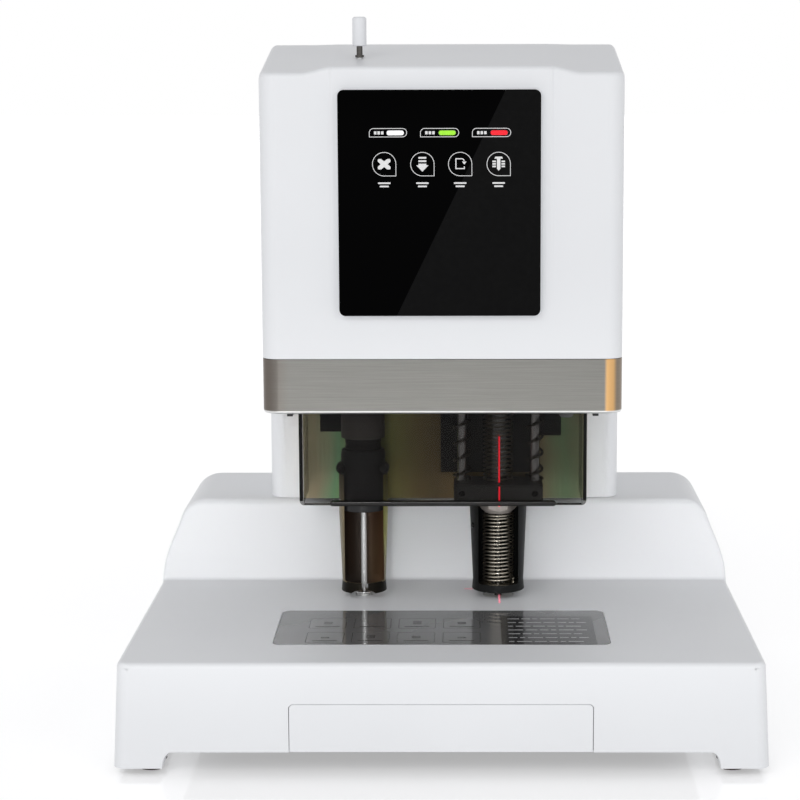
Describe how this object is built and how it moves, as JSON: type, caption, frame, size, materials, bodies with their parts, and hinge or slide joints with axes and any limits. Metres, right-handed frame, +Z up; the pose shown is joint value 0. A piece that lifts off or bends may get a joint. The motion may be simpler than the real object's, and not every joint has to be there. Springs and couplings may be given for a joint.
{
  "type": "rivet binding machine",
  "caption": "Counter-top machine that drills a stack of paper and binds it with a hot-pressed rivet tube, with a press foot, a smoked safety cover and a chip drawer.",
  "frame": {"origin": "floor level under the middle of the machine's bounding box", "axes": "+Z up, -Y towards the user, +X to the user's right"},
  "size_m": [0.427, 0.35, 0.4889],
  "materials": {
    "white_plastic": "satin moulded",
    "black_plastic": "satin",
    "grey_plastic": "satin",
    "smoked_plastic": "clear smoked",
    "mat_glass": "mirror-smooth",
    "brushed_steel": "brushed",
    "bright_steel": "polished",
    "zinc_plate": "yellow zinc plated",
    "dark_steel": "black oxide",
    "spring_steel": "bright wire",
    "rubber": "matt",
    "nylon": "matt",
    "black_glass": "mirror-smooth",
    "lamp_white": "clear",
    "lamp_green": "clear",
    "lamp_red": "clear",
    "board_green": "lacquered"
  },
  "bodies": {
    "base": {"base_shell": "white_plastic", "chassis_pan": "dark_steel", "foot_front_left": "rubber", "foot_front_right": "rubber", "foot_rear_left": "rubber", "foot_rear_right": "rubber", "deck_mat": "mat_glass", "drill_pad": "nylon", "chip_tube": "bright_steel", "rivet_anvil": "bright_steel", "anvil_heater": "dark_steel", "column_shell": "white_plastic", "head_frame": "zinc_plate", "frame_post": "dark_steel", "head_band": "brushed_steel", "head_floor": "black_plastic", "cover_pin_left": "bright_steel", "cover_pin_right": "bright_steel", "head_shell": "white_plastic", "head_back_cover": "white_plastic", "panel_bezel": "white_plastic", "panel_glass": "black_glass", "lamp_white": "lamp_white", "lamp_green": "lamp_green", "lamp_red": "lamp_red", "control_board": "board_green", "drill_rail": "bright_steel", "rivet_rail": "bright_steel", "drill_lift_motor": "black_plastic", "rivet_lift_motor": "black_plastic", "laser_module": "white_plastic", "power_inlet": "black_plastic", "power_supply": "bright_steel"},
    "drawer": {"chip_drawer": "white_plastic"},
    "cover": {"clear_cover": "smoked_plastic"},
    "drill_lift": {"drill_carriage": "black_plastic", "drill_lift_screw": "bright_steel", "drill_motor": "dark_steel", "guide_rod_left": "bright_steel", "guide_rod_right": "bright_steel", "foot_main_spring": "dark_steel", "rod_spring_left": "dark_steel", "rod_spring_right": "dark_steel"},
    "press_foot": {"foot_block": "grey_plastic", "drill_guard": "dark_steel", "guard_nut": "bright_steel", "chip_spring": "spring_steel"},
    "spindle": {"drill_spindle": "bright_steel", "hollow_drill": "bright_steel"},
    "rivet_head": {"rivet_carriage": "black_plastic", "rivet_lift_screw": "bright_steel", "rivet_cylinder": "grey_plastic", "rivet_sleeve": "black_plastic", "sleeve_screw_left": "bright_steel", "sleeve_screw_right": "bright_steel", "rivet_guard": "zinc_plate"},
    "punch": {"rivet_punch": "bright_steel"},
    "needle": {"rivet_needle": "bright_steel", "needle_knob": "white_plastic"},
    "rocker": {"power_rocker": "black_plastic"}
  },
  "joints": [
    {"name": "drawer_slide", "type": "slide", "parent": "base", "child": "drawer", "axis": [0, -1, 0], "range_m": [0, 0.14]},
    {"name": "cover_hinge", "type": "hinge", "parent": "base", "child": "cover", "pos_m": [0, -0.011, 0.217], "axis": [-1, 0, 0], "range_deg": [0, 50]},
    {"name": "drill_feed", "type": "slide", "parent": "base", "child": "drill_lift", "axis": [0, 0, 1], "range_m": [0, 0.055]},
    {"name": "foot_float", "type": "slide", "parent": "drill_lift", "child": "press_foot", "axis": [0, 0, 1], "range_m": [0, 0.05], "stiffness_N_per_m": 300, "springref_m": -0.05, "deforming": ["foot_main_spring", "rod_spring_left", "rod_spring_right"]},
    {"name": "spindle_spin", "type": "hinge", "parent": "drill_lift", "child": "spindle", "pos_m": [0.0395, 0.008, 0.1385], "axis": [0, 0, 1], "continuous": true},
    {"name": "rivet_feed", "type": "slide", "parent": "base", "child": "rivet_head", "axis": [0, 0, 1], "range_m": [0, 0.055]},
    {"name": "punch_press", "type": "slide", "parent": "rivet_head", "child": "punch", "axis": [0, 0, -1], "range_m": [0, 0.055]},
    {"name": "needle_pull", "type": "slide", "parent": "base", "child": "needle", "axis": [0, 0, 1], "range_m": [0, 0.045]},
    {"name": "power_switch", "type": "hinge", "parent": "base", "child": "rocker", "pos_m": [-0.128, 0.1682, 0.048], "axis": [-1, 0, 0], "range_deg": [0, 14]}
  ]
}
